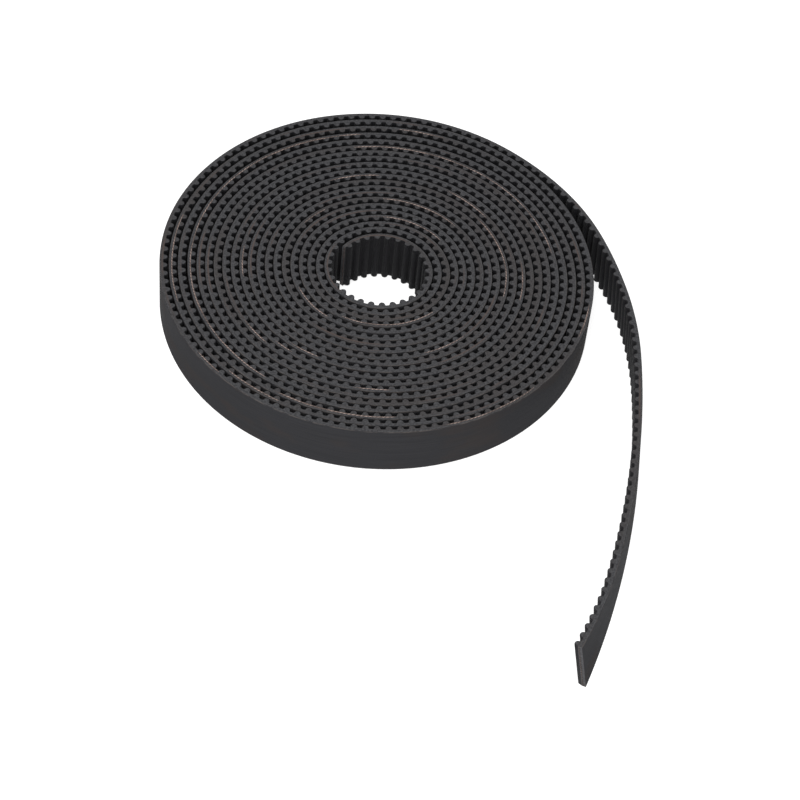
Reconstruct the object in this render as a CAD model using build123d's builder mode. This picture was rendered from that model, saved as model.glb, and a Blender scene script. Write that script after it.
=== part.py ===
from build123d import *

import os
from collections import namedtuple
from math import cos, pi, radians, sin

# Open-ended rubber timing belt, rolled up tooth side inwards into a flat coil that lies on
# its edge, with the outer end of the belt left free as a tail. Millimetres, +Z up. The origin
# is the centre of the coil on the surface that it lies on. +X points to the side where the
# tail leaves, and the tail runs towards -Y.
#
# Along its length the belt is a chain of tangent arcs that all bend towards the tooth side.
# A place on it is given by a length, from the free end, along the pitch line, and by a depth,
# from the smooth back towards the tooth tips. The belt is three bonded layers of rubber, cord
# and toothed rubber, and the tail is cut into links so that it can flex about the pitch line.

# Belt section: a round-tooth belt of 3 mm pitch, 15 mm wide
belt_width = 15.0
belt_thickness = 2.21
tooth_pitch = 3.0
tooth_height = 1.10
tooth_root_width = 1.95
pitch_line_above_land = 0.33
cord_layer_thickness = 0.40
cord_pitch = 0.60
cord_width = 0.54

# Coil: it is wound tight on one side, in the direction of tight_angle, and looser on the side
# opposite. outer_reach is the distance from the origin to the back of the belt on the tight
# side. The outer gaps on the loose side are wider by loose_gaps, and every gap there by a little.
outer_reach = 59.43
turn_clearance = 0.036
whole_turns = 20
tight_angle = -70.0
departure_angle = 57.66
inner_end_angle = 152.0
loose_gaps = (0.32, 0.22, 0.47, 0.26)
looseness_of_each_turn = 0.052

# The coil is divided after these whole turns into groups of turns
coil_divisions = (4, 8, 12, 16)

# Tail: radius and bend of each arc, from the coil to the free end
tail_arcs = ((77.86, 29.71), (108.28, 24.06), (263.4, 21.29))
tail_links = 6
teeth_per_link = 9

# The free end is cut through the middle of the first tooth
free_end = tooth_pitch / 2

# Cut between two links: half of its width at the pitch line, and how fast it flares
half_cut = 0.15
cut_flare = 0.25

# Depths of the layers, worked out from the section
turn_pitch = belt_thickness + turn_clearance
land_depth = belt_thickness - tooth_height
pitch_depth = land_depth - pitch_line_above_land
cord_outer_depth = pitch_depth - cord_layer_thickness / 2
cord_inner_depth = pitch_depth + cord_layer_thickness / 2
link_length = teeth_per_link * tooth_pitch
cord_count = round(belt_width / cord_pitch)

os.makedirs("parts", exist_ok=True)

# One arc of the belt. The angles are those of the outward normal of its back, in radians.
Arc = namedtuple("Arc", "centre_x centre_y radius first_angle last_angle")


def reach(half_turn):
    """Distance from the origin to the back of the belt, after a number of half turns."""
    turn = half_turn // 2
    on_loose_side = half_turn % 2 == 1
    slack = sum(loose_gaps[turn:]) + looseness_of_each_turn * (whole_turns - turn)
    return outer_reach - half_turn * turn_pitch / 2 + (slack if on_loose_side else 0.0)


def half_turn_circle(half_turn):
    """Centre, on the line from the tight side to the loose side, and radius of a half turn."""
    start, end = reach(half_turn), reach(half_turn + 1)
    towards_tight_side = (start - end) / 2 if half_turn % 2 == 0 else (end - start) / 2
    direction = radians(tight_angle)
    centre_x = towards_tight_side * cos(direction)
    centre_y = towards_tight_side * sin(direction)
    return centre_x, centre_y, (start + end) / 2


def tail_chain():
    """Arcs of the tail, from the free end to the coil."""
    centre_x, centre_y, radius = half_turn_circle(0)
    angle = radians(departure_angle)
    chain = []
    for next_radius, bend in tail_arcs:
        centre_x += (radius - next_radius) * cos(angle)
        centre_y += (radius - next_radius) * sin(angle)
        radius = next_radius
        chain.append(Arc(centre_x, centre_y, radius, angle - radians(bend), angle))
        angle -= radians(bend)
    return chain[::-1]


def coil_chain():
    """Half turns of the coil, from the tail inwards."""
    inner_end = 2 * pi * whole_turns + radians(inner_end_angle)
    chain = []
    for half_turn in range(2 * whole_turns + 2):
        first = radians(tight_angle) + pi * half_turn
        last = min(first + pi, inner_end)
        if half_turn == 0:
            first = radians(departure_angle)
        chain.append(Arc(*half_turn_circle(half_turn), first, last))
    return chain


def pitch_length(arc):
    return (arc.radius - pitch_depth) * (arc.last_angle - arc.first_angle)


belt_arcs = tail_chain() + coil_chain()
arc_starts = [sum(pitch_length(arc) for arc in belt_arcs[:i]) for i in range(len(belt_arcs))]
tooth_count = int((arc_starts[-1] + pitch_length(belt_arcs[-1])) // tooth_pitch)
belt_length = tooth_count * tooth_pitch


def place(length, depth):
    """The point at a length along the belt and a depth below its back."""
    index = max(i for i, start in enumerate(arc_starts) if start <= length or i == 0)
    arc = belt_arcs[index]
    angle = arc.first_angle + (length - arc_starts[index]) / (arc.radius - pitch_depth)
    radius = arc.radius - depth
    return (arc.centre_x + radius * cos(angle), arc.centre_y + radius * sin(angle))


def arc_between(first, last, first_depth, middle_depth, last_depth):
    middle = place((first + last) / 2, middle_depth)
    return Edge.make_three_point_arc(place(first, first_depth), middle, place(last, last_depth))


def smooth_run(first, last, depth):
    """Edges along the belt at one depth, broken where one arc of the belt meets the next."""
    stops = [first] + [start for start in arc_starts if first < start < last] + [last]
    return [arc_between(a, b, depth, depth, depth) for a, b in zip(stops, stops[1:])]


def crown_depth(offset):
    """Depth of a round tooth's surface at a distance along the belt from its middle."""
    crown_radius = (tooth_root_width**2 / 4 + tooth_height**2) / (2 * tooth_height)
    return belt_thickness - crown_radius + (crown_radius**2 - offset**2) ** 0.5


def toothed_run(first, last):
    """Edges along the tooth side: a flat land and a round tooth in turn."""
    edges = []
    here = first
    for tooth in range(tooth_count):
        middle = (tooth + 0.5) * tooth_pitch
        root = middle - tooth_root_width / 2
        next_root = middle + tooth_root_width / 2
        if middle == first:
            quarter_depth = crown_depth(tooth_root_width / 4)
            edges.append(arc_between(first, next_root, belt_thickness, quarter_depth, land_depth))
            here = next_root
        elif first < middle < last:
            edges.append(arc_between(here, root, land_depth, land_depth, land_depth))
            edges.append(arc_between(root, next_root, land_depth, belt_thickness, land_depth))
            here = next_root
    edges.append(arc_between(here, last, land_depth, land_depth, land_depth))
    return edges


def cut_end(length, side, depth):
    """Where a layer ends. Only the cuts between links are open and flared."""
    if length not in link_cuts:
        return length
    return length + side * (half_cut + cut_flare * abs(depth - pitch_depth))


def layer_outline(first, last, outer_depth, inner_depth, toothed):
    """Closed loop of edges round one layer of one stretch of the belt."""
    outer_first, outer_last = cut_end(first, 1, outer_depth), cut_end(last, -1, outer_depth)
    inner_first, inner_last = cut_end(first, 1, inner_depth), cut_end(last, -1, inner_depth)
    outer_run = smooth_run(outer_first, outer_last, outer_depth)
    inner_run = toothed_run(inner_first, inner_last)
    if not toothed:
        inner_run = smooth_run(inner_first, inner_last, inner_depth)
    near_end = Edge.make_line(place(outer_first, outer_depth), inner_run[0] @ 0)
    far_end = Edge.make_line(place(inner_last, inner_depth), place(outer_last, outer_depth))
    return outer_run + [far_end] + inner_run + [near_end]


def write_part(part, name):
    part.label = name
    export_step(part, f"parts/{name}.step")


def make_backing(name, first, last):
    """Smooth rubber back of the belt, down to the cords."""
    with BuildPart() as backing:
        with BuildSketch():
            with BuildLine():
                add(layer_outline(first, last, 0.0, cord_outer_depth, toothed=False))
            make_face()
        extrude(amount=belt_width)
    write_part(backing.part, f"{name}_backing")


def make_tension_cords(name, first, last):
    """Tension cords, side by side across the width, each a separate flat-sided strand."""
    lowest = (belt_width - (cord_count - 1) * cord_pitch - cord_width) / 2
    with BuildPart() as strand:
        with BuildSketch(Plane.XY.offset(lowest)):
            with BuildLine():
                add(layer_outline(first, last, cord_outer_depth, cord_inner_depth, toothed=False))
            make_face()
        extrude(amount=cord_width)
    strands = [Pos(0, 0, i * cord_pitch) * strand.part for i in range(cord_count)]
    write_part(Compound(children=strands), f"{name}_tension_cords")


def make_teeth(name, first, last):
    """Toothed rubber, from the cords to the tooth tips."""
    with BuildPart() as teeth:
        with BuildSketch():
            with BuildLine():
                add(layer_outline(first, last, cord_inner_depth, land_depth, toothed=True))
            make_face()
        extrude(amount=belt_width)
    write_part(teeth.part, f"{name}_teeth")


def make_stretch(name, first, last):
    make_backing(name, first, last)
    make_tension_cords(name, first, last)
    make_teeth(name, first, last)


def length_after(turns):
    """Length of belt from the free end to a whole number of turns, to the nearest tooth space."""
    arcs_passed = len(tail_arcs) + 2 * turns
    return round(arc_starts[arcs_passed] / tooth_pitch) * tooth_pitch


# The links of the tail are numbered from the coil to the free end, and each turns about the
# pitch line at the cut before it.
link_cuts = [link_length * (tail_links - i) for i in range(tail_links)]
link_ends = link_cuts[1:] + [free_end]
for link in range(tail_links):
    make_stretch(f"tail_{link + 1}", link_ends[link], link_cuts[link])
    hinge_x, hinge_y = place(link_cuts[link], pitch_depth)
    print(f"flex_{link + 1} at {hinge_x:.4f} {hinge_y:.4f}")

# The coil holds the belt from the first cut inwards. Its groups of turns are numbered from the
# outside, and meet each other face to face.
group_ends = [link_cuts[0]] + [length_after(turns) for turns in coil_divisions] + [belt_length]
for group, (first, last) in enumerate(zip(group_ends, group_ends[1:])):
    make_stretch(f"coil_{group + 1}", first, last)

end_x, end_y = place(free_end, pitch_depth)
end_angle = belt_arcs[0].first_angle + free_end / (belt_arcs[0].radius - pitch_depth)
print(f"free end at {end_x:.4f} {end_y:.4f} facing {sin(end_angle):.6f} {-cos(end_angle):.6f}")
tail_length = arc_starts[len(tail_arcs)] - free_end
print(f"{tooth_count} teeth, {belt_length:.0f} mm of belt, tail {tail_length:.1f} mm")
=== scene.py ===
from math import cos, pi, radians, sin

import bpy
import numpy as np
from mathutils import Matrix, Vector


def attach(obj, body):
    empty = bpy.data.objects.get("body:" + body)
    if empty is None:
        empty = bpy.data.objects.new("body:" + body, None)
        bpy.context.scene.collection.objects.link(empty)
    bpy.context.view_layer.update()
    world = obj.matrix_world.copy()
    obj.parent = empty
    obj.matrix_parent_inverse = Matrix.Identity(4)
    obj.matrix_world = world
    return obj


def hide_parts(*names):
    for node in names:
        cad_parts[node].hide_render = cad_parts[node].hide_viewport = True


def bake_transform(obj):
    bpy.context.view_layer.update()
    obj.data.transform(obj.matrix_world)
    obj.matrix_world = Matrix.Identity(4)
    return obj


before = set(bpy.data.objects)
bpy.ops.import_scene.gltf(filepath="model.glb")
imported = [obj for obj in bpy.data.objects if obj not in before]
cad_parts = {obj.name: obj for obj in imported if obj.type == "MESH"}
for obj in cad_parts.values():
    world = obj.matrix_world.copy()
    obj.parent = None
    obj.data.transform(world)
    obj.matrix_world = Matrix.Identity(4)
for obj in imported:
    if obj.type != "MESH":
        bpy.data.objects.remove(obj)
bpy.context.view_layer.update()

# An open-ended timing belt rolled into a flat coil, with a free tail. Metres, +Z up, the coil's
# axis on Z. A place on the belt is a length along its pitch line from the free end, a depth below
# its smooth back and a height above the floor. The route is the CAD model's, apart from less
# than a millimetre at the two ends of the belt.

MM = 0.001
TINY = 1e-7

# Belt section and route. The inner end is drawn in by a small gap from the turn around it, and
# the free end is cut through the flank of the first tooth.
BELT_WIDTH = 15.0 * MM
BELT_THICKNESS = 2.21 * MM
TOOTH_PITCH = 3.0 * MM
TOOTH_HEIGHT = 1.10 * MM
PITCH_DEPTH = 0.78 * MM
CORD_PITCH = 0.60 * MM
CORD_COUNT = 25
OUTER_REACH = 59.43 * MM
TURN_PITCH = 2.246 * MM
WHOLE_TURNS = 20
TIGHT_ANGLE = radians(-70.0)
DEPARTURE_ANGLE = radians(57.66)
INNER_END_ANGLE = radians(152.0)
LOOSE_GAPS = np.array((0.32, 0.22, 0.47, 0.26)) * MM
LOOSENESS_OF_EACH_TURN = 0.052 * MM
INNER_END_GAP = 0.35 * MM
TAIL_ARCS = (
    (77.86 * MM, radians(29.71)), (108.28 * MM, radians(24.06)), (263.4 * MM, radians(21.29)))
FREE_END = TOOTH_PITCH / 4

# Round tooth: tip radius, root fillet, and the points along each
TIP_RADIUS = 0.90 * MM
ROOT_FILLET = 0.22 * MM
TIP_STEPS = 6
FILLET_STEPS = 2
FACING_THICKNESS = 0.17 * MM
EDGE_BEVEL = 0.06 * MM
BACK_BEVEL = 0.10 * MM
LAYER_SEAM_DEPTH = 0.86 * MM
CORD_RADIUS = 0.17 * MM
END_CORD_RADIUS = 0.20 * MM
CORD_SINK = 0.09 * MM
CORD_TAPER = 3.0 * MM
CORD_TWIST = 0.55 * MM
CORD_STATION = 0.6 * MM
CORD_SIDES = 8
CORD_RIPPLE = 0.12
CORD_WANDER = 0.05 * MM
FINE_WANDER = 0.03 * MM
FEWEST_CORD_STATIONS = 6
CUT_CORD_DEPTH = 0.4 * MM
CUT_CORD_SHIFT = 0.05 * MM
INNER_CORDS_PROUD = 0.04 * MM
FREE_CORDS_PROUD = 0.12 * MM
LAND_DEPTH = BELT_THICKNESS - TOOTH_HEIGHT

# How a real coil strays from a perfect one: turns that stand a little proud, and a tail that leans
TURN_LIFT = 0.10 * MM
RISE_LENGTH = 120.0 * MM
TAIL_LEAN = 0.099
LEAN_START = 24.0 * MM
LEAN_LENGTH = 36.0 * MM
END_LEAN = 0.107
END_LEAN_LENGTH = 25.0 * MM


# The route

def reach(half_turn):
    """Distance from the origin to the back of the belt, after a number of half turns."""
    turn = half_turn // 2
    slack = LOOSE_GAPS[turn:].sum() + LOOSENESS_OF_EACH_TURN * (WHOLE_TURNS - turn)
    if half_turn > 2 * WHOLE_TURNS:
        slack = -INNER_END_GAP
    on_loose_side = half_turn % 2
    return OUTER_REACH - half_turn * TURN_PITCH / 2 + slack * on_loose_side


def half_turn_circle(half_turn):
    """Centre, on the line from the tight side to the loose side, and radius of a half turn."""
    start, end = reach(half_turn), reach(half_turn + 1)
    towards_tight_side = (start - end) / 2 * (1 if half_turn % 2 == 0 else -1)
    centre = (towards_tight_side * cos(TIGHT_ANGLE), towards_tight_side * sin(TIGHT_ANGLE))
    return (*centre, (start + end) / 2)


def tail_chain():
    """Arcs of the tail from the free end to the coil: centre, back radius, first and last angle."""
    x, y, radius = half_turn_circle(0)
    angle = DEPARTURE_ANGLE
    chain = []
    for next_radius, bend in TAIL_ARCS:
        x += (radius - next_radius) * cos(angle)
        y += (radius - next_radius) * sin(angle)
        radius = next_radius
        chain.append((x, y, radius, angle - bend, angle))
        angle -= bend
    return chain[::-1]


def coil_chain():
    """Half turns of the coil from the tail inwards."""
    chain = []
    for half_turn in range(2 * WHOLE_TURNS + 2):
        first = TIGHT_ANGLE + pi * half_turn
        last = min(first + pi, 2 * pi * WHOLE_TURNS + INNER_END_ANGLE)
        if half_turn == 0:
            first = DEPARTURE_ANGLE
        chain.append((*half_turn_circle(half_turn), first, last))
    return chain


arcs = np.array(tail_chain() + coil_chain())
arc_lengths = (arcs[:, 2] - PITCH_DEPTH) * (arcs[:, 4] - arcs[:, 3])
arc_starts = np.concatenate(([0.0], np.cumsum(arc_lengths)[:-1]))
tail_end = arc_starts[len(TAIL_ARCS)]
tooth_count = int(arc_lengths.sum() // TOOTH_PITCH)
belt_length = tooth_count * TOOTH_PITCH


def angle_at(lengths):
    index = np.clip(np.searchsorted(arc_starts, lengths, side="right") - 1, 0, None)
    return index, arcs[index, 3] + (lengths - arc_starts[index]) / (arcs[index, 2] - PITCH_DEPTH)


def length_at(turn, angle):
    """Length along the belt where a turn of the coil passes an angle."""
    whole = 2 * pi * turn + angle
    index = np.searchsorted(arcs[:, 4], whole)
    return arc_starts[index] + (whole - arcs[index, 3]) * (arcs[index, 2] - PITCH_DEPTH)


def lift_at(lengths):
    """How far a stretch of the coil stands above the floor. The tail lies flat on it."""
    _, angle = angle_at(lengths)
    wave = 1.5 + sin_of(angle, 0.31, 0.4)
    wave = wave + 0.6 * sin_of(angle, 0.83, 1.9) + 0.35 * sin_of(angle, 2.2, 3.1)
    into_coil = np.clip((lengths - tail_end) / RISE_LENGTH, 0, 1)
    return TURN_LIFT * wave * into_coil


def sin_of(angle, rate, phase):
    return np.sin(angle * rate + phase)


def place(lengths, depths, heights):
    """Points of the belt, as an array with a row for each length."""
    lengths, depths, heights = np.broadcast_arrays(lengths, depths, heights)
    index, angle = angle_at(lengths)
    leaning = np.clip((tail_end - LEAN_START - lengths) / LEAN_LENGTH, 0, 1)
    at_end = np.clip(1 - lengths / END_LEAN_LENGTH, 0, 1)
    lean = TAIL_LEAN * leaning * leaning * (3 - 2 * leaning) * (heights - BELT_WIDTH / 2)
    lean = lean + END_LEAN * at_end**2 * heights
    radius = arcs[index, 2] - depths - lean
    x = arcs[index, 0] + radius * np.cos(angle)
    y = arcs[index, 1] + radius * np.sin(angle)
    return np.stack((x, y, heights + lift_at(lengths)), axis=-1)


# Meshes

def strip_faces(corners, unrolled, side_slots, outward=1):
    """A closed solid strip. corners holds, for each station along the belt, the points round
    its section, and unrolled each side's texture coordinates, of its first and second corner."""
    stations, count, _ = corners.shape
    start = np.arange(stations - 1)[:, None] * count
    side = np.arange(count)[None, :]
    following = (side + 1) % count
    after = start + count
    quads = np.stack((start + side, start + following, after + following, after + side), -1)
    coordinates = np.concatenate((unrolled[:-1], unrolled[1:, :, ::-1]), 2)
    slots = np.tile(side_slots, stations - 1)

    pairs = np.arange(count // 2 - 1)
    cap = np.stack((pairs, pairs + 1, count - 2 - pairs, count - 1 - pairs), -1)
    caps = np.concatenate((cap[:, ::-1], cap + (stations - 1) * count))
    points = corners.reshape(-1, 3)
    cap_points = points[caps] / MM
    cap_coordinates = np.stack((cap_points[..., 0] + cap_points[..., 1], cap_points[..., 2]), -1)
    quads = np.concatenate((quads.reshape(-1, 4), caps))
    coordinates = np.concatenate((coordinates.reshape(-1, 4, 2), cap_coordinates))
    slots = np.concatenate((slots, np.full(len(caps), side_slots[0])))
    if outward < 0:
        quads, coordinates = quads[:, ::-1], coordinates[:, ::-1]
    return points, quads, coordinates, slots


def make_piece(name, strips, materials, sharp=radians(38)):
    """One object from one or more closed strips."""
    offsets = np.cumsum([0] + [len(points) for points, _, _, _ in strips])
    points = np.concatenate([strip[0] for strip in strips])
    quads = np.concatenate([strip[1] + offset for strip, offset in zip(strips, offsets)])
    coordinates = np.concatenate([strip[2] for strip in strips])
    slots = np.concatenate([strip[3] for strip in strips])
    mesh = bpy.data.meshes.new(name)
    mesh.from_pydata(points, [], quads)
    layer = mesh.uv_layers.new(name="belt")
    layer.data.foreach_set("uv", coordinates.reshape(-1).astype(np.float32))
    mesh.polygons.foreach_set("material_index", slots.astype(np.int32))
    for material in materials:
        mesh.materials.append(material)
    mesh.shade_smooth()
    mesh.set_sharp_from_angle(angle=sharp)
    piece = bpy.data.objects.new(name, mesh)
    bpy.context.scene.collection.objects.link(piece)
    return piece


def tooth_profile():
    """One tooth as rows of: place along the belt, height above the land, and outward normal."""
    base = TIP_RADIUS + ROOT_FILLET
    peak_centre = TOOTH_HEIGHT - TIP_RADIUS
    turns = np.linspace(0, pi / 2, FILLET_STEPS + 1)
    rising = np.stack((
        -base + ROOT_FILLET * np.sin(turns), ROOT_FILLET * (1 - np.cos(turns)),
        -np.sin(turns), np.cos(turns)), -1)
    turns = np.linspace(pi, 0, TIP_STEPS + 1)
    tip = np.stack((
        TIP_RADIUS * np.cos(turns), peak_centre + TIP_RADIUS * np.sin(turns),
        np.cos(turns), np.sin(turns)), -1)
    falling = rising[::-1] * (-1, 1, -1, 1)
    return np.concatenate((rising, tip, falling))


def toothed_stations(first, last):
    """The tooth side between two lengths, as rows: place along the belt, depth, outward normal
    along the belt and in depth, place on the seam, and length over the teeth."""
    profile = tooth_profile()
    middles = (np.arange(tooth_count) + 0.5) * TOOTH_PITCH
    middles = middles[(middles > first - TINY) & (middles < last)]
    along = (middles[:, None] + profile[:, 0]).ravel()
    depth = np.tile(LAND_DEPTH + profile[:, 1], len(middles))
    normal_along = np.tile(profile[:, 2], len(middles))
    normal_depth = np.tile(profile[:, 3], len(middles))
    seam = (middles[:, None] + np.linspace(profile[0, 0], profile[-1, 0], len(profile))).ravel()
    rows = [row[along > first - TINY] for row in (along, depth, normal_along, normal_depth, seam)]
    opening = [] if rows[0][0] < first + TINY else [(first, LAND_DEPTH, 0.0, 1.0, first)]
    closing = [(last, LAND_DEPTH, 0.0, 1.0, last)]
    along, depth, normal_along, normal_depth, seam = np.array(opening + list(zip(*rows)) + closing).T
    steps = np.hypot(np.diff(along), np.diff(depth))
    unrolled = first + np.concatenate(([0.0], np.cumsum(steps)))
    return along, depth, normal_along, normal_depth, seam, unrolled


def toothed_layer(name, first, last):
    """Toothed rubber with its nylon facing: from the seam at the cords to the tooth surface."""
    along, depth, normal_along, normal_depth, seam, unrolled = toothed_stations(first, last)
    insets = (None, FACING_THICKNESS, EDGE_BEVEL, 0.0, 0.0, EDGE_BEVEL, FACING_THICKNESS, None)
    heights = (0.0, 0.0, 0.0, EDGE_BEVEL, BELT_WIDTH - EDGE_BEVEL, BELT_WIDTH, BELT_WIDTH, BELT_WIDTH)
    lengths, depths = [], []
    for inset in insets:
        at_seam = inset is None
        lengths.append(seam if at_seam else along - inset * normal_along)
        seam_depth = np.full_like(seam, LAYER_SEAM_DEPTH)
        depths.append(seam_depth if at_seam else depth - inset * normal_depth)
    lengths, depths = np.stack(lengths, 1), np.stack(depths, 1)
    corners = place(lengths, depths, np.array(heights))

    flat_uv = np.stack((lengths, depths), -1) / MM
    surface_uv = np.stack((np.broadcast_to(unrolled[:, None], lengths.shape),
                           np.broadcast_to(heights, lengths.shape)), -1) / MM
    on_surface = np.array((0, 0, 1, 1, 1, 0, 0, 1), bool)[None, :, None]
    first_uv = np.where(on_surface, surface_uv, flat_uv)
    second_uv = np.where(on_surface, np.roll(surface_uv, -1, 1), np.roll(flat_uv, -1, 1))
    slots = np.array((0, 1, 2, 2, 2, 1, 0, 0))
    materials = (looks["slit_edge"], looks["facing_edge"], looks["nylon_facing"])
    strip = strip_faces(corners, np.stack((first_uv, second_uv), 2), slots)
    return make_piece(name, [strip], materials)


def back_layer(name, first, last):
    """Smooth rubber back, from its ground outer face to the seam at the cords."""
    count = int(round((last - first) / (TOOTH_PITCH / 4))) + 1
    along = np.linspace(first, last, count)
    section_depths = np.array((LAYER_SEAM_DEPTH, BACK_BEVEL, 0.0, 0.0, BACK_BEVEL, LAYER_SEAM_DEPTH))
    heights = np.array((0.0, 0.0, BACK_BEVEL, BELT_WIDTH - BACK_BEVEL, BELT_WIDTH, BELT_WIDTH))
    lengths, depths = np.broadcast_arrays(along[:, None], section_depths)
    corners = place(lengths, depths, heights)
    flat_uv = np.stack((lengths, depths), -1) / MM
    face_uv = np.stack(np.broadcast_arrays(lengths, heights), -1) / MM
    on_face = np.array((0, 1, 1, 1, 0, 0), bool)[None, :, None]
    first_uv = np.where(on_face, face_uv, flat_uv)
    second_uv = np.where(on_face, np.roll(face_uv, -1, 1), np.roll(flat_uv, -1, 1))
    slots = np.array((0, 1, 1, 1, 0, 0))
    materials = (looks["slit_edge"], looks["ground_back"])
    strip = strip_faces(corners, np.stack((first_uv, second_uv), 2), slots, outward=-1)
    return make_piece(name, [strip], materials)


def cord_coordinates(along):
    """Texture coordinates of a strand: millimetres along it, and parts of a turn round it."""
    around = np.stack((np.arange(CORD_SIDES), np.arange(CORD_SIDES) + 1), -1) / CORD_SIDES
    shape = (len(along), CORD_SIDES, 2)
    lengthwise = np.broadcast_to(along[..., None] / MM, shape)
    return np.stack((lengthwise, np.broadcast_to(around, shape)), -1)


def bare_cords(name, runs, height):
    """Tension cord laid bare along one cut edge: a twisted strand for each (first, last)."""
    strips = []
    slots = np.zeros(CORD_SIDES, int)
    turns = np.linspace(0, 2 * pi, CORD_SIDES, endpoint=False)
    facing_up = 1 if height > BELT_WIDTH / 2 else -1
    for first, last in runs:
        stations = max(FEWEST_CORD_STATIONS, int((last - first) / CORD_STATION))
        along = np.linspace(first, last, stations)[:, None]
        taper = np.clip(np.minimum(along - first, last - along) / CORD_TAPER, 0, 1)
        ripple = 1 + CORD_RIPPLE * np.cos(3 * turns + along / CORD_TWIST)
        radius = CORD_RADIUS * (0.3 + 0.7 * np.sqrt(taper)) * ripple
        wander = CORD_WANDER * np.sin(along / (7 * MM)) + FINE_WANDER * np.sin(along / (2.3 * MM))
        depths = PITCH_DEPTH + wander + radius * np.cos(turns)
        rise = height + facing_up * (radius * np.sin(turns) - CORD_SINK)
        corners = place(along, depths, rise)
        strips.append(strip_faces(corners, cord_coordinates(along), slots, outward=-facing_up))
    return make_piece(name, strips, (looks["glass_cord"],), sharp=radians(80))


def end_cords(name, length, direction, most_proud):
    """Cut ends of the tension cords, standing just proud of a cut end of the belt."""
    strips = []
    slots = np.zeros(CORD_SIDES, int)
    turns = np.linspace(0, 2 * pi, CORD_SIDES, endpoint=False)
    for cord in range(CORD_COUNT):
        height = (cord + 0.5) * CORD_PITCH
        proud = direction * most_proud * chance.uniform(0.4, 1.0)
        root = length - direction * CUT_CORD_DEPTH
        along = np.array((root, length + proud * 0.7, length + proud))[:, None]
        taper = np.array((1.0, 1.0, 0.7))[:, None]
        radius = END_CORD_RADIUS * taper * (0.92 + 0.16 * chance.random(CORD_SIDES))
        shift = CUT_CORD_SHIFT * chance.uniform(-1, 1)
        depths = PITCH_DEPTH + shift + radius * np.cos(turns)
        corners = place(along, depths, height + radius * np.sin(turns))
        strips.append(strip_faces(corners, cord_coordinates(along), slots, outward=-direction))
    return make_piece(name, strips, (looks["cut_cord"],), sharp=radians(50))


# Materials. Texture coordinates are millimetres along the belt and across it.

def node(tree, kind, inputs=(), **settings):
    made = tree.nodes.new(kind)
    for key, value in settings.items():
        setattr(made, key, value)
    for key, value in dict(inputs).items():
        if isinstance(value, bpy.types.NodeSocket):
            tree.links.new(value, made.inputs[key])
        else:
            made.inputs[key].default_value = value
    return made


def srgb(red, green, blue):
    """A colour from its 0 to 255 display values."""
    return tuple((value / 255) ** 2.2 for value in (red, green, blue)) + (1.0,)


def new_material(name, shader_values):
    """A material, its node tree and its shader, with the values that are the same all over it."""
    material = bpy.data.materials.new(name)
    material.use_nodes = True
    tree = material.node_tree
    shader = tree.nodes["Principled BSDF"]
    for key, value in shader_values.items():
        shader.inputs[key].default_value = value
    return material, tree, shader


def belt_noise(tree, along, across, detail=3.0, roughness=0.55, offset=(0, 0, 0)):
    """Noise with its own number of features for each millimetre along the belt and across it."""
    uv = node(tree, "ShaderNodeUVMap", uv_map="belt")
    scaled = node(tree, "ShaderNodeMapping", {
        "Vector": uv.outputs["UV"], "Location": offset, "Scale": (along, across, 1.0)})
    return node(tree, "ShaderNodeTexNoise", {
        "Vector": scaled.outputs["Vector"], "Scale": 1.0, "Detail": detail, "Roughness": roughness},
        noise_dimensions="2D").outputs["Fac"]


def rescale(tree, value, low, high, to_low=0.0, to_high=1.0, smooth=True):
    """The value's range from low to high, moved to another range and held there."""
    return node(tree, "ShaderNodeMapRange", {
        "Value": value, "From Min": low, "From Max": high, "To Min": to_low, "To Max": to_high},
        interpolation_type="SMOOTHSTEP" if smooth else "LINEAR").outputs["Result"]


def mix_colours(tree, amount, first, second):
    return node(tree, "ShaderNodeMix", {0: amount, 6: first, 7: second}, data_type="RGBA").outputs[2]


def maths(tree, operation, first, second=0.0):
    return node(tree, "ShaderNodeMath", {0: first, 1: second}, operation=operation).outputs[0]


def across_belt(tree):
    """Millimetres across the belt: height on its faces, depth on its slit edges."""
    uv = node(tree, "ShaderNodeUVMap", uv_map="belt")
    return node(tree, "ShaderNodeSeparateXYZ", {0: uv.outputs["UV"]}).outputs["Y"]


def along_belt(tree):
    uv = node(tree, "ShaderNodeUVMap", uv_map="belt")
    return node(tree, "ShaderNodeSeparateXYZ", {0: uv.outputs["UV"]}).outputs["X"]


def connect_bumps(tree, shader, bumps):
    """Bumps laid on each other, each given as (height, strength, distance in metres)."""
    normal = None
    for height, strength, distance in bumps:
        inputs = {"Height": height, "Strength": strength, "Distance": distance}
        if normal is not None:
            inputs["Normal"] = normal
        normal = node(tree, "ShaderNodeBump", inputs).outputs["Normal"]
    tree.links.new(normal, shader.inputs["Normal"])


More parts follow.
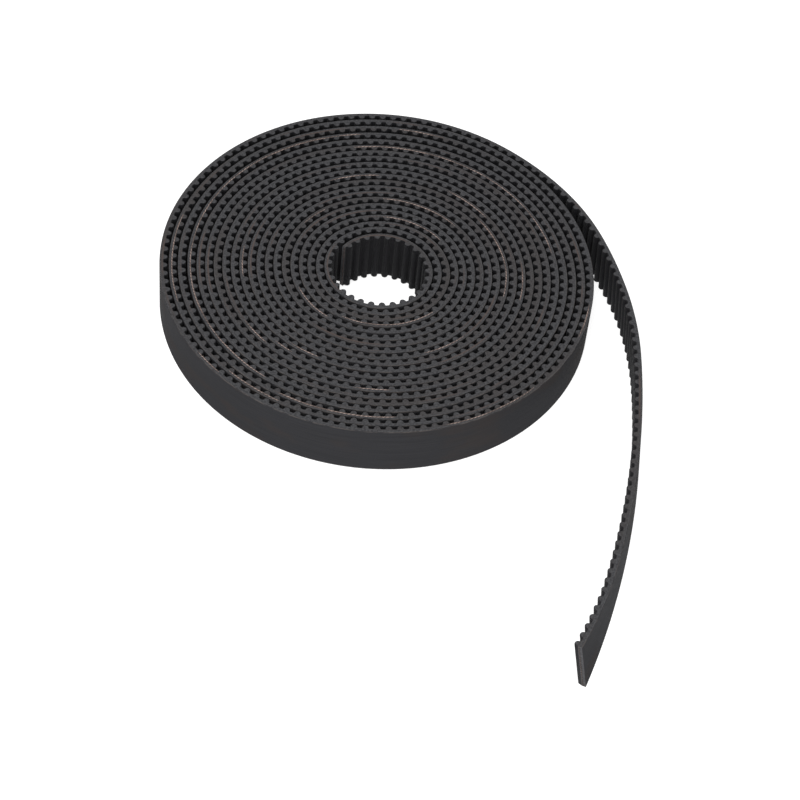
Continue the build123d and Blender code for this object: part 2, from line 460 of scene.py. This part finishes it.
def ground_rubber():
    """Smooth back of the belt: rubber ground lengthwise, matte, browner in patches, painted highlights
    on its edges.
    """
    material, tree, shader = new_material("ground_rubber", {"Specular IOR Level": 0.02})
    streaks = belt_noise(tree, 0.05, 4.0, detail=5.0, roughness=0.6)
    clouds = belt_noise(tree, 0.05, 0.12, detail=3.0, offset=(3.0, 8.0, 0))
    grain = belt_noise(tree, 5.0, 5.0, detail=2.0)
    colour = mix_colours(tree, rescale(tree, streaks, 0.3, 0.7), srgb(45, 45, 47), srgb(51, 51, 53))
    colour = mix_colours(tree, rescale(tree, clouds, 0.50, 0.72, 0.0, 0.5), colour, srgb(56, 51, 49))
    colour = mix_colours(tree, rescale(tree, grain, 0.35, 0.7, 0.0, 0.25), colour, srgb(60, 60, 62))
    height = across_belt(tree)
    # Lighter patchy rim along the top and bottom edges of the back face: a painted edge highlight.
    top_edge_highlight, low_edge_highlight = rescale(tree, height, 14.55, 14.95), rescale(tree, height, 0.45, 0.05)
    edge_highlight = maths(tree, "MAXIMUM", top_edge_highlight, low_edge_highlight)
    patchy = rescale(tree, belt_noise(tree, 0.35, 1.5, offset=(1, 5, 0)), 0.35, 0.65)
    patchy_edge_highlight = maths(tree, "MULTIPLY", edge_highlight, patchy)
    colour = mix_colours(tree, maths(tree, "MULTIPLY", patchy_edge_highlight, 0.75), colour, srgb(84, 80, 78))
    tree.links.new(colour, shader.inputs["Base Color"])
    roughness = rescale(tree, maths(tree, "ADD", streaks, maths(tree, "MULTIPLY", clouds, 0.6)),
                        0.5, 1.1, 0.62, 0.78)
    tree.links.new(roughness, shader.inputs["Roughness"])
    connect_bumps(tree, shader, ((streaks, 0.35, 0.00006), (grain, 0.30, 0.00005)))
    return material


def slit_rubber():
    """Slit edges of the belt: mottled rubber, knife marks, a faint brown trace of the cords, and a
    painted highlight along the back edge.
    """
    material, tree, shader = new_material("slit_rubber", {"Specular IOR Level": 0.22})
    mottle = belt_noise(tree, 1.6, 2.2, detail=4.0, roughness=0.65)
    marks = belt_noise(tree, 5.0, 0.5, detail=3.0, offset=(0, 4, 0))
    patches = belt_noise(tree, 0.012, 0.2, detail=2.0, offset=(9, 2, 0))
    colour = mix_colours(tree, rescale(tree, mottle, 0.3, 0.72), srgb(53, 53, 55), srgb(78, 78, 80))
    colour = mix_colours(tree, rescale(tree, patches, 0.45, 0.7, 0.0, 0.35), colour, srgb(64, 58, 55))
    depth = across_belt(tree)
    off_cord = maths(tree, "ABSOLUTE", maths(tree, "SUBTRACT", depth, PITCH_DEPTH / MM))
    trace = rescale(tree, off_cord, 0.34, 0.10)
    stretches = belt_noise(tree, 0.03, 0.1, detail=4.0, offset=(5, 5, 0))
    shown = rescale(tree, stretches, 0.54, 0.68, 0.0, 0.45)
    colour = mix_colours(tree, maths(tree, "MULTIPLY", trace, shown), colour, srgb(92, 76, 69))
    # Lighter patchy rim on the slit edge next to the back: a painted edge highlight.
    near_back = rescale(tree, depth, 0.34, 0.06)
    edge_highlight_patches = rescale(tree, belt_noise(tree, 0.06, 0.3, offset=(2, 7, 0)), 0.46, 0.66, 0.05, 0.7)
    back_edge_highlight = maths(tree, "MULTIPLY", near_back, edge_highlight_patches)
    colour = mix_colours(tree, back_edge_highlight, colour, srgb(88, 86, 86))
    tree.links.new(colour, shader.inputs["Base Color"])
    tree.links.new(rescale(tree, mottle, 0.3, 0.75, 0.60, 0.80), shader.inputs["Roughness"])
    connect_bumps(tree, shader, ((mottle, 0.5, 0.00010), (marks, 0.35, 0.00006)))
    return material


def woven_facing():
    """Nylon facing on the teeth: near black, a fine twill weave with a little fuzz, soft sheen."""
    material, tree, shader = new_material("woven_facing", {
        "Specular IOR Level": 0.14, "Sheen Weight": 0.04, "Sheen Roughness": 0.45})
    threads = 2 * pi / 0.34
    along, across = along_belt(tree), across_belt(tree)
    rising, falling = maths(tree, "ADD", along, across), maths(tree, "SUBTRACT", along, across)
    warp = maths(tree, "SINE", maths(tree, "MULTIPLY", rising, threads))
    weft = maths(tree, "SINE", maths(tree, "MULTIPLY", falling, threads))
    weave = maths(tree, "MULTIPLY", warp, weft)
    fuzz = belt_noise(tree, 3.0, 3.0, detail=3.0)
    colour = mix_colours(tree, rescale(tree, weave, -0.8, 0.9), srgb(22, 22, 24), srgb(29, 29, 32))
    colour = mix_colours(tree, rescale(tree, fuzz, 0.5, 0.75, 0.0, 0.5), colour, srgb(44, 43, 45))
    tree.links.new(colour, shader.inputs["Base Color"])
    tree.links.new(rescale(tree, fuzz, 0.3, 0.7, 0.66, 0.86), shader.inputs["Roughness"])
    connect_bumps(tree, shader, ((weave, 0.5, 0.00004), (fuzz, 0.3, 0.00006)))
    return material


def facing_edge():
    """Cut edge of the facing: a thin darker line round each tooth, with frayed lighter thread ends."""
    material, tree, shader = new_material("facing_edge", {"Specular IOR Level": 0.18})
    threads = belt_noise(tree, 5.0, 5.0, detail=3.0, offset=(2, 2, 0))
    colour = mix_colours(tree, rescale(tree, threads, 0.40, 0.72), srgb(26, 26, 28), srgb(58, 57, 58))
    tree.links.new(colour, shader.inputs["Base Color"])
    tree.links.new(rescale(tree, threads, 0.3, 0.7, 0.70, 0.88), shader.inputs["Roughness"])
    connect_bumps(tree, shader, ((threads, 0.5, 0.00008),))
    return material


def glass_cord(name, dark, pale, dusty):
    """Tension cord: twisted glass strands, brown from their bonding dip, paler on the crowns."""
    material, tree, shader = new_material(name, {"Specular IOR Level": 0.30})
    lay = maths(tree, "ADD", maths(tree, "MULTIPLY", along_belt(tree), 2 * pi / 1.1),
                maths(tree, "MULTIPLY", across_belt(tree), 6 * pi))
    strands = maths(tree, "SINE", lay)
    dust = belt_noise(tree, 0.25, 2.0, detail=4.0, offset=(7, 0, 0))
    colour = mix_colours(tree, rescale(tree, strands, -0.9, 0.9), dark, pale)
    colour = mix_colours(tree, rescale(tree, dust, 0.45, 0.62, 0.0, 0.7), colour, dusty)
    tree.links.new(colour, shader.inputs["Base Color"])
    tree.links.new(rescale(tree, dust, 0.3, 0.7, 0.48, 0.70), shader.inputs["Roughness"])
    connect_bumps(tree, shader, ((strands, 0.6, 0.00008),))
    return material


looks = {
    "ground_back": ground_rubber(),
    "slit_edge": slit_rubber(),
    "nylon_facing": woven_facing(),
    "facing_edge": facing_edge(),
    "glass_cord": glass_cord("glass_cord", srgb(108, 92, 86), srgb(168, 150, 142), srgb(66, 58, 56)),
    "cut_cord": glass_cord("cut_cord", srgb(58, 49, 46), srgb(92, 76, 70), srgb(46, 43, 43)),
}
chance = np.random.default_rng(7)


# Coil: groups of turns, each a smooth back layer and a toothed layer

LINK = 9 * TOOTH_PITCH
TAIL_LINKS = 6
COIL_DIVISIONS = (0, 4, 8, 12, 16)
hinges = [LINK * (TAIL_LINKS - link) for link in range(TAIL_LINKS)]
group_starts = [arc_starts[len(TAIL_ARCS) + 2 * turns] for turns in COIL_DIVISIONS]
group_cuts = [round(start / TOOTH_PITCH) * TOOTH_PITCH for start in group_starts] + [belt_length]

for group, (first, last) in enumerate(zip(group_cuts, group_cuts[1:])):
    back = back_layer(f"coil_back_{group + 1}", first, last)
    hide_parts(f"coil_{group + 1}_backing", f"coil_{group + 1}_tension_cords")
    teeth = toothed_layer(f"coil_toothed_side_{group + 1}", first, last)
    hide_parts(f"coil_{group + 1}_teeth")
    for piece in (back, teeth):
        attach(piece, "coil")


# Cords: laid bare along the cut edges by the slitting knife, here and there, and at the cut ends.
# Each stretch on the upper edge is the turn and the degrees round it, from and to.

BARE_ON_TOP = (
    (0, 220, 230), (0, 292, 320), (0, 341, 355), (1, 168, 203), (1, 230, 248), (2, 75, 90),
    (2, 245, 280), (3, 100, 240), (5, 15, 105), (6, 265, 280), (7, 215, 230), (8, 230, 240),
    (8, 350, 369), (9, 175, 195), (9, 235, 250), (10, 40, 65), (10, 95, 120), (10, 350, 402),
    (11, 295, 320), (14, 45, 95), (14, 130, 150), (15, 205, 240), (16, 245, 320), (17, 40, 95))
BARE_BELOW = 18

top_runs = [(length_at(turn, radians(first)), length_at(turn, radians(last)))
            for turn, first, last in BARE_ON_TOP]
below_runs = []
for run in range(BARE_BELOW):
    start = length_at(int(chance.integers(0, WHOLE_TURNS)), 2 * pi * chance.random())
    below_runs.append((start, start + (8 + 70 * chance.random() ** 2) * MM))

top_cords = bare_cords("coil_bare_cords_top", top_runs, BELT_WIDTH)
below_cords = bare_cords("coil_bare_cords_below", below_runs, 0.0)
inner_cords = end_cords("inner_end_cords", belt_length, 1, INNER_CORDS_PROUD)
for piece in (top_cords, below_cords, inner_cords):
    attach(piece, "coil")


# Tail: a stretch of belt for each hinge, from mid-link to mid-link. Stretches meet between
# two teeth.

bodies = ["coil"] + [f"tail_{link + 1}" for link in range(TAIL_LINKS)]
BEND_REACH = 0.42 * LINK
BEFORE_HINGE = 4 * TOOTH_PITCH
for link, hinge in enumerate(hinges):
    first = FREE_END if link == TAIL_LINKS - 1 else hinge - BEFORE_HINGE
    last = group_cuts[0] if link == 0 else hinge - BEFORE_HINGE + LINK
    back = back_layer(f"tail_back_{link + 1}", first, last)
    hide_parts(f"tail_{link + 1}_backing", f"tail_{link + 1}_tension_cords")
    teeth = toothed_layer(f"tail_toothed_side_{link + 1}", first, last)
    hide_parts(f"tail_{link + 1}_teeth")
    start = Vector(place(hinge + BEND_REACH, PITCH_DEPTH, BELT_WIDTH / 2))
    end = Vector(place(hinge - BEND_REACH, PITCH_DEPTH, BELT_WIDTH / 2))
    for piece in (back, teeth):
        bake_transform(piece)

free_cords = end_cords("free_end_cords", FREE_END, -1, FREE_CORDS_PROUD)
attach(free_cords, bodies[-1])


# Floor, light and camera

FLOOR_SIZE = 6.0
CAMERA_PLACE = (0.00876, -0.46305, 0.50234)
CAMERA_LOOKS_DOWN = radians(49.403)
CAMERA_ROLL = radians(6.011)


def make_floor():
    mesh = bpy.data.meshes.new("floor")
    half = FLOOR_SIZE / 2
    corners = [(-half, -half, 0), (half, -half, 0), (half, half, 0), (-half, half, 0)]
    mesh.from_pydata(corners, [], [(0, 1, 2, 3)])
    floor = bpy.data.objects.new("floor", mesh)
    bpy.context.scene.collection.objects.link(floor)
    material, _, _ = new_material("floor_paint", {
        "Base Color": (0.62, 0.62, 0.62, 1.0), "Roughness": 0.9, "Specular IOR Level": 0.1,
        "Emission Color": (1.0, 1.0, 1.0, 1.0), "Emission Strength": 0.71})
    mesh.materials.append(material)
    return floor


def make_light(name, place_at, aim, size, power):
    light = bpy.data.lights.new(name, "AREA")
    light.shape = "DISK"
    light.size = size
    light.energy = power
    lamp = bpy.data.objects.new(name, light)
    lamp.location = place_at
    lamp.rotation_euler = (Vector(aim) - Vector(place_at)).to_track_quat("-Z", "Y").to_euler()
    bpy.context.scene.collection.objects.link(lamp)
    return lamp


def make_world(strength):
    world = bpy.data.worlds.new("studio")
    world.use_nodes = True
    background = world.node_tree.nodes["Background"]
    background.inputs["Color"].default_value = (1.0, 1.0, 1.0, 1.0)
    background.inputs["Strength"].default_value = strength
    bpy.context.scene.world = world


def make_camera():
    """Short telephoto, 49 degrees above the horizon, turned a little about its own axis."""
    data = bpy.data.cameras.new("camera")
    data.sensor_width = 36.0
    data.lens = 112.5
    data.clip_start = 0.05
    data.clip_end = 20.0
    camera = bpy.data.objects.new("camera", data)
    tilt = Matrix.Rotation(pi / 2 - CAMERA_LOOKS_DOWN, 4, "X")
    roll = Matrix.Rotation(CAMERA_ROLL, 4, "Z")
    camera.matrix_world = Matrix.Translation(CAMERA_PLACE) @ tilt @ roll
    bpy.context.scene.collection.objects.link(camera)
    bpy.context.scene.camera = camera


make_floor()
make_world(0.38)
make_light("key", (-0.15, -0.35, 1.1), (0.0, 0.0, 0.0), 0.9, 9.0)
make_light("fill", (0.10, -1.1, 0.5), (0.0, 0.0, 0.0), 0.9, 7.0)
make_camera()
bpy.context.scene.view_settings.view_transform = "Standard"
